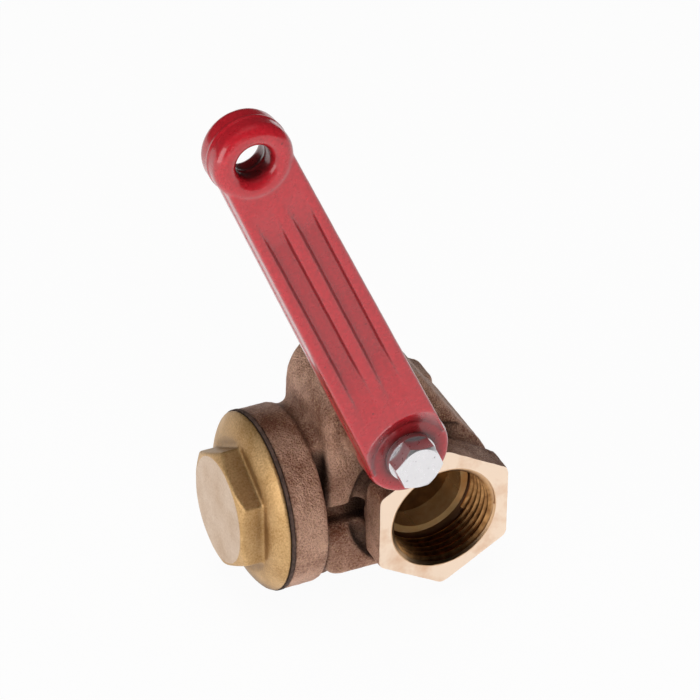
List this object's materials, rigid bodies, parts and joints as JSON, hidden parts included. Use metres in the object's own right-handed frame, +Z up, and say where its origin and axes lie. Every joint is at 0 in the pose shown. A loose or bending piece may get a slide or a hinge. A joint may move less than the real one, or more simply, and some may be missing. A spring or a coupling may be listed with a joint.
{
  "type": "quick closing valve",
  "caption": "Cast gunmetal quick closing valve with in-line female pipe threads on hexagon ends, a screwed side cap and a red lever that swings a twin disc gate.",
  "frame": {"origin": "centre of the front port face, on the pipe axis", "axes": "+Y along the pipe to the rear port, the screwed cap at -X, +Z up, lever upwards in the closed position"},
  "size_m": [0.0975, 0.0733, 0.1803],
  "materials": {
    "cast_gunmetal": "sand cast, dull brown, machined port faces",
    "cap_brass": "fine blasted, machined hexagon face",
    "seat_bronze": "turned and lapped",
    "shaft_brass": "turned",
    "gasket_fibre": "dark fibre",
    "packing": "graphited yarn",
    "spring_steel": "drawn wire",
    "red_paint": "gloss paint over a casting",
    "zinc_steel": "bright zinc plate"
  },
  "bodies": {
    "body": {"valve_body": "cast_gunmetal", "front_seat": "seat_bronze", "rear_seat": "seat_bronze", "bonnet_cap": "cap_brass", "cap_gasket": "gasket_fibre", "thrust_washer": "seat_bronze", "packing_ring_1": "packing", "packing_ring_2": "packing", "packing_ring_3": "packing", "gland_nut": "shaft_brass"},
    "lever": {"shaft": "shaft_brass", "gate_arm": "shaft_brass", "front_disc": "seat_bronze", "rear_disc": "seat_bronze", "disc_spring": "spring_steel", "lever": "red_paint", "lock_washer": "zinc_steel", "lever_bolt": "zinc_steel"}
  },
  "joints": [
    {"name": "lever_swing", "type": "hinge", "parent": "body", "child": "lever", "pos_m": [-0.0145, 0, 0.0306], "axis": [0, 1, 0], "range_deg": [0, 50.7]}
  ]
}
